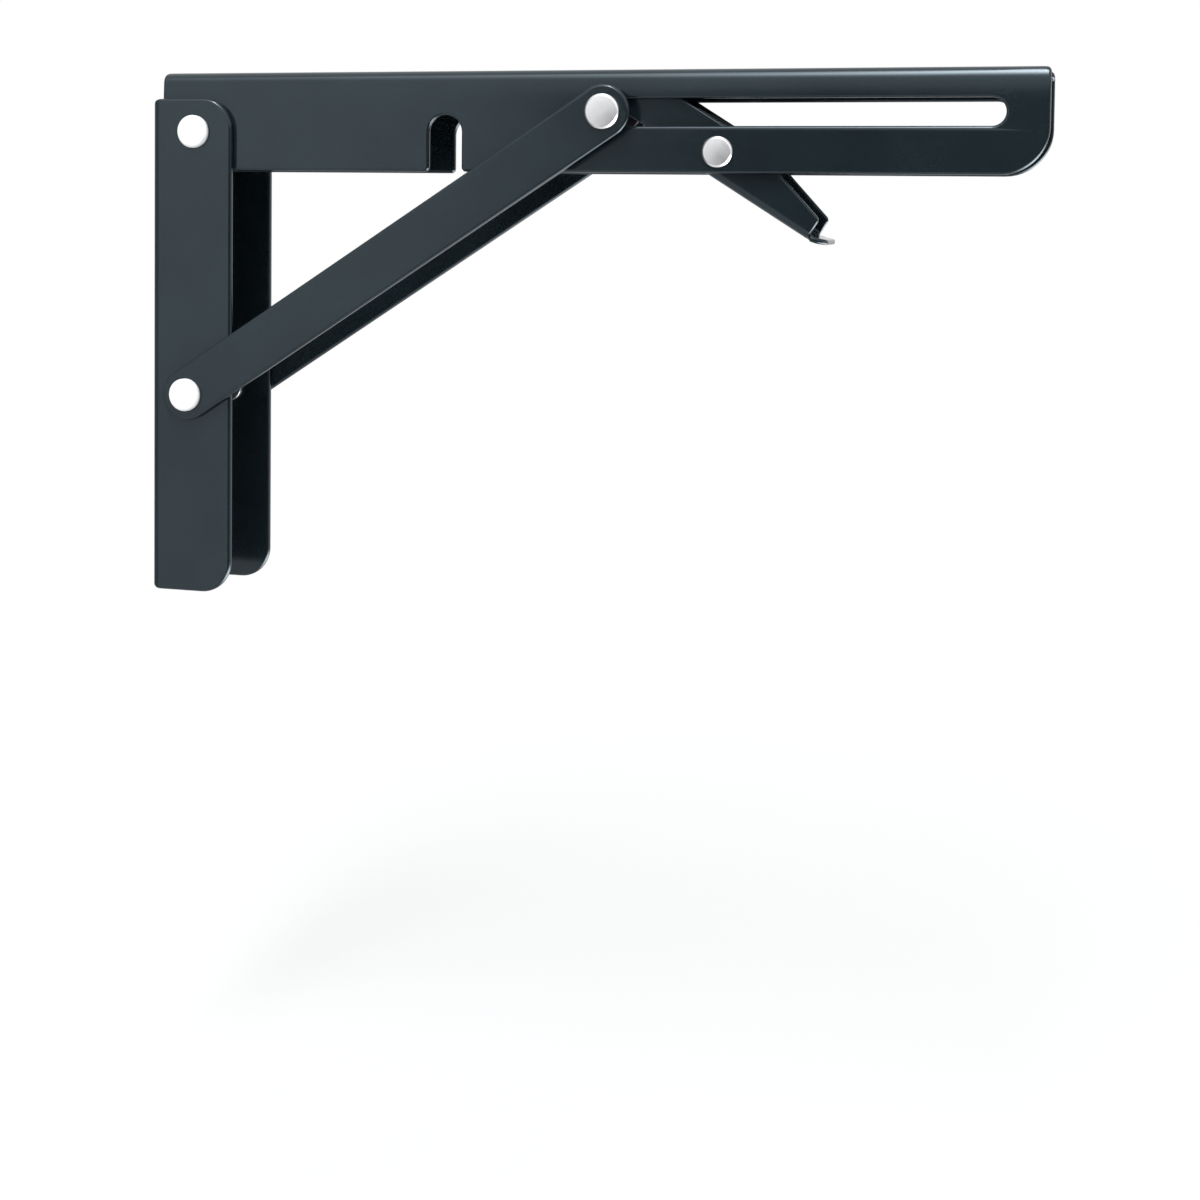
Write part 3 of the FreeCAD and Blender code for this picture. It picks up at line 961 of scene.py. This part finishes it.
class BRACKET_OT_rivets(bpy.types.Operator):
    """Turn the rivets and the sliding pin"""

    bl_idname = "bracket.rivets"
    bl_label = "Rivets and Pin"

    def execute(self, context):
        settings = context.scene.bracket
        rivets, shank = settings.rivets, settings.sheet.shank / 2
        tree = turning_tree()

        def radius_of(node):
            """Largest radius of a turned node."""
            low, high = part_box(node)
            return (high.x - low.x) / 2

        def head(node):
            """Outline of an outer head, from its middle to the shank under it."""
            face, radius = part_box(node)[1].y, radius_of(node)
            under = face - rivets.head_height
            return [
                (0, face),
                (radius - rivets.head_bevel, face),
                (radius, face - rivets.head_bevel),
                (radius, under),
                (shank, under),
            ]

        def tail(node, radius):
            """Outline of an inner head, from the shank above it to its middle."""
            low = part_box(node)[0].y
            top = low + rivets.inner_height
            return [(shank, top), (radius, top), (radius, low), (0, low)]

        pin_low, pin_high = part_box("slot_pin_left")
        collar = radius_of("slot_pin_left")
        collar_under = pin_high.y - rivets.collar
        pin = [
            (0, pin_high.y),
            (collar, pin_high.y),
            (collar, collar_under),
            (rivets.pin / 2, collar_under),
            (rivets.pin / 2, pin_low.y),
            (0, pin_low.y),
        ]
        arm, foot, top = "arm_pivot_rivet_left", "strut_foot_rivet_left", "strut_head_rivet_left"
        bar_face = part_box(top)[0].y
        through = head("lever_pivot_rivet")
        through += [(radius, -height) for radius, height in reversed(through)]
        pieces = {
            "arm_pivot": ("wall", ARM_PIVOT, head(arm) + tail(arm, radius_of(arm))),
            "strut_foot": ("wall", STRUT_FOOT, head(foot) + tail(foot, rivets.inner_head / 2)),
            "strut_head": ("strut", STRUT_HEAD, head(top) + [(shank, bar_face), (0, bar_face)]),
            "slot_pin": ("slider", STRUT_HEAD, pin),
            "lever_pivot": ("arm", LEVER_PIVOT, through),
        }
        for key, (body, pivot, outline) in pieces.items():
            node = key if key == "slot_pin" else key + "_rivet"
            nodes = [node] if key == "lever_pivot" else [node + "_left", node + "_right"]
            # The sliding pin takes the near-black steel, which is painted shade for the slot
            piece = tree.run(key + "_bright", [(radius, height, 0) for radius, height in outline], {
                "Pivot": (pivot.x, 0, pivot.z),
                "Both Sides": len(nodes) == 2,
                "Edge Rounding": rivets.edge,
                "Steps Round": rivets.steps,
                "Finish": material("steel_darkened_for_shade" if key == "slot_pin" else "bright_nickel", settings),
            })
            if key in ("arm_pivot", "strut_foot"):
                # The riveted ends inside get the near-black steel: painted shade for the channel's shaded
                # inside
                piece.data.materials.append(material("steel_darkened_for_shade", settings))
                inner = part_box(nodes[0])[0].y + rivets.inner_height
                for face in piece.data.polygons:
                    face.material_index = int(abs(face.center.y) < inner)
            seat(piece, body, "bright_rivet", *nodes)
        return {"FINISHED"}


class BRACKET_OT_lever_spring(bpy.types.Operator):
    """Wind the lever's torsion spring"""

    bl_idname = "bracket.lever_spring"
    bl_label = "Lever Spring"

    def execute(self, context):
        settings = context.scene.bracket
        spring, lever, sheet = settings.spring, settings.lever, settings.sheet
        thin = spring.wire / 2
        coil = sheet.shank / 2 + spring.play + thin
        half = spring.turns * spring.pitch / 2
        sine, cosine = math.sin(lever.slope), math.cos(lever.slope)
        up = lever.thickness - lever.web_side + thin + spring.gap
        web_end = Vector((spring.web_leg * cosine + up * sine, -spring.web_leg * sine + up * cosine))
        arm_end = Vector((spring.arm_leg, spring.arm_rise))

        def root(end, way):
            """Angle at which a straight leg leaves the coil."""
            return math.atan2(end.y, end.x) + way * math.acos(coil / end.length)

        def point(place, across):
            """Point about the lever's pivot as a point of the bracket."""
            return LEVER_PIVOT.x + place[0], across, LEVER_PIVOT.z + place[1]

        start = root(web_end, -1)
        sweep = spring.turns * math.tau + (start - root(arm_end, 1)) % math.tau
        count = round(sweep / math.tau * spring.steps)
        points = [point(web_end, -half)]
        for number in range(count + 1):
            part = number / count
            turn = start - part * sweep
            points.append(point((coil * math.cos(turn), coil * math.sin(turn)), (2 * part - 1) * half))
        # The hook turns off the leg towards the far flange and ends inside its hole
        tip = ARM_HIGH.y - sheet.thickness + spring.hook_depth
        back = (Vector((math.cos(turn), math.sin(turn))) * coil - arm_end).normalized()
        hook_steps = 8
        for number in range(hook_steps + 1):
            bend = math.pi / 2 * number / hook_steps
            place = arm_end + back * spring.hook_bend * (1 - math.sin(bend))
            points.append(point(place, half + spring.hook_bend * (1 - math.cos(bend))))
        points.append(point(arm_end, tip))
        piece = wire_tree().run("lever_spring_wire", points, {
            "Wire Diameter": spring.wire,
            "Sides": 16,
            "Finish": material("drawn_wire", settings),
        })
        # In the bracket the coil winds up as the lever turns, one leg going with the lever and the other
        # staying with the arm; the piece made here is tied to neither and does not wind
        point((0, 0), -half)
        point((0, 0), half)
        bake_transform(piece)
        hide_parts("lever_spring")
        return {"FINISHED"}


WHITE = (1.0, 1.0, 1.0, 1.0)
# Where the overhead light grows weaker to the left, and how weak before it is squared
WEAKER_LEFT = (math.radians(-30), 0, 0.36)
# Elevations between which the low light fades out
LOW_LIGHT_TOP = (math.radians(-35), math.radians(-12))
# How far a direction points along the arm: where the low light fades in and the wall's side ends
LOW_LIGHT_RIGHT = (0.15, 0.6)
WALL_SIDE = (-0.95, -0.55)


class BRACKET_OT_stage(bpy.types.Operator):
    """Set up the camera, the white studio and the floor"""

    bl_idname = "bracket.stage"
    bl_label = "Stage"

    def execute(self, context):
        scene = context.scene
        stage = scene.bracket.stage
        scene.view_settings.view_transform = "Standard"
        self.camera(scene, stage)
        self.surroundings(scene, stage)
        self.floor(stage)
        return {"FINISHED"}

    def camera(self, scene, stage):
        """Camera at the photograph's place and angle."""
        data = bpy.data.cameras.new("camera")
        data.lens = stage.lens
        data.shift_y = stage.shift
        data.clip_start = 0.01
        data.clip_end = 50.0
        camera = add_object("camera", data)
        level = math.pi / 2
        turned = Matrix.Rotation(stage.yaw, 4, "Z") @ Matrix.Rotation(level + stage.pitch, 4, "X")
        camera.matrix_world = Matrix.Translation(stage.camera) @ turned @ Matrix.Rotation(stage.roll, 4, "Z")
        scene.camera = camera

    def surroundings(self, scene, stage):
        """White studio, brighter overhead and low down, with its unlit part on the camera's side."""
        world = bpy.data.worlds.new("studio")
        scene.world = world
        shader = Shader(world)
        way = shader.add("ShaderNodeTexCoord")
        parts = [shader.add("ShaderNodeSeparateXYZ", {}, {0: way}, output=number) for number in range(3)]
        east, north, height = parts
        side = east.math("ARCTAN2", east, north * -1.0)
        lift = height.math("ARCSINE", height)
        fade = stage.soft / 2
        mask = shader.band(side, stage.dark_left, 3 * fade, stage.dark_right, 3 * fade)
        mask = mask * shader.band(lift, stage.dark_bottom, 4 * fade, stage.dark_top, fade)
        seen = shader.blend(mask, (*stage.bright, 1.0), (*stage.dark, 1.0))
        above = shader.ramp(lift, stage.overhead_from, stage.overhead_full)
        above = above * shader.ramp(side, *WEAKER_LEFT, 1.0)
        spread = shader.band(side, stage.overhead_left, 3.5 * fade, stage.overhead_right, 4 * fade)
        above = above * above * spread
        below = shader.ramp(east, *LOW_LIGHT_RIGHT) * (1.0 - shader.ramp(lift, *LOW_LIGHT_TOP))
        level = shader.ramp(lift, -2 * stage.soft, stage.soft, stage.lower_half, 1.0)
        level = level + above * (stage.overhead - 1) + below * stage.low_light
        level = level * shader.ramp(east, *WALL_SIDE, stage.wall_side, 1.0)
        # The camera itself sees plain white
        path = shader.add("ShaderNodeLightPath")
        light = shader.add("ShaderNodeBackground", {}, {
            "Color": shader.blend(path, seen, WHITE),
            "Strength": level * (1.0 - path) + path,
        })
        shader.add("ShaderNodeOutputWorld", {}, {"Surface": light})

    def floor(self, stage):
        """Plain pale floor that shows as white and keeps a faint shadow."""
        painted = bpy.data.materials.new("pale_floor")
        shader = Shader(painted)
        matt = shader.add("ShaderNodeBsdfDiffuse", {}, {"Color": (*stage.floor, 1.0)})
        white = shader.add("ShaderNodeEmission", {}, {"Color": WHITE})
        path = shader.add("ShaderNodeLightPath")
        away = shader.add("ShaderNodeVectorMath", {"operation": "LENGTH"}, {0: shader.place()}, output=1)
        cover = shader.ramp(away, stage.white_from, stage.white_full, stage.white_near, 1.0)
        both = shader.add("ShaderNodeMixShader", {}, {0: path * cover, 1: matt, 2: white})
        shader.add("ShaderNodeOutputMaterial", {}, {"Surface": both})
        half, height = 6.0, WALL_LOW.z - stage.floor_drop
        corners = [(x * half, y * half, height) for x, y in ((-1, -1), (1, -1), (1, 1), (-1, 1))]
        mesh = bpy.data.meshes.new("floor")
        mesh.from_pydata(corners, [], [(0, 1, 2, 3)])
        mesh.materials.append(painted)
        floor = add_object("floor", mesh)
        floor.visible_glossy = False


OPERATORS = (
    BRACKET_OT_stage,
    BRACKET_OT_wall_channel,
    BRACKET_OT_top_arm,
    BRACKET_OT_strut_bars,
    BRACKET_OT_release_lever,
    BRACKET_OT_rivets,
    BRACKET_OT_lever_spring,
)


class BRACKET_PT_panel(bpy.types.Panel):
    """Sizes and steps of the bracket"""

    bl_idname = "BRACKET_PT_panel"
    bl_label = "Folding Shelf Bracket"
    bl_space_type = "VIEW_3D"
    bl_region_type = "UI"
    bl_category = "Bracket"

    def draw(self, context):
        for step in OPERATORS:
            self.layout.operator(step.bl_idname)
        for key, group in GROUPS.items():
            box = self.layout.box()
            box.label(text=key.title())
            for name in group.__annotations__:
                box.prop(getattr(context.scene.bracket, key), name)


CLASSES = (*GROUPS.values(), BracketSettings, *OPERATORS, BRACKET_PT_panel)


def register():
    for item in CLASSES:
        bpy.utils.register_class(item)
    bpy.types.Scene.bracket = bpy.props.PointerProperty(type=BracketSettings)


def unregister():
    del bpy.types.Scene.bracket
    for item in reversed(CLASSES):
        bpy.utils.unregister_class(item)


def main():
    register()
    for step in OPERATORS:
        group, name = step.bl_idname.split(".")
        result = getattr(getattr(bpy.ops, group), name)()
        if result != {"FINISHED"}:
            raise RuntimeError(step.bl_label + " did not finish")


if __name__ == "__main__":
    main()
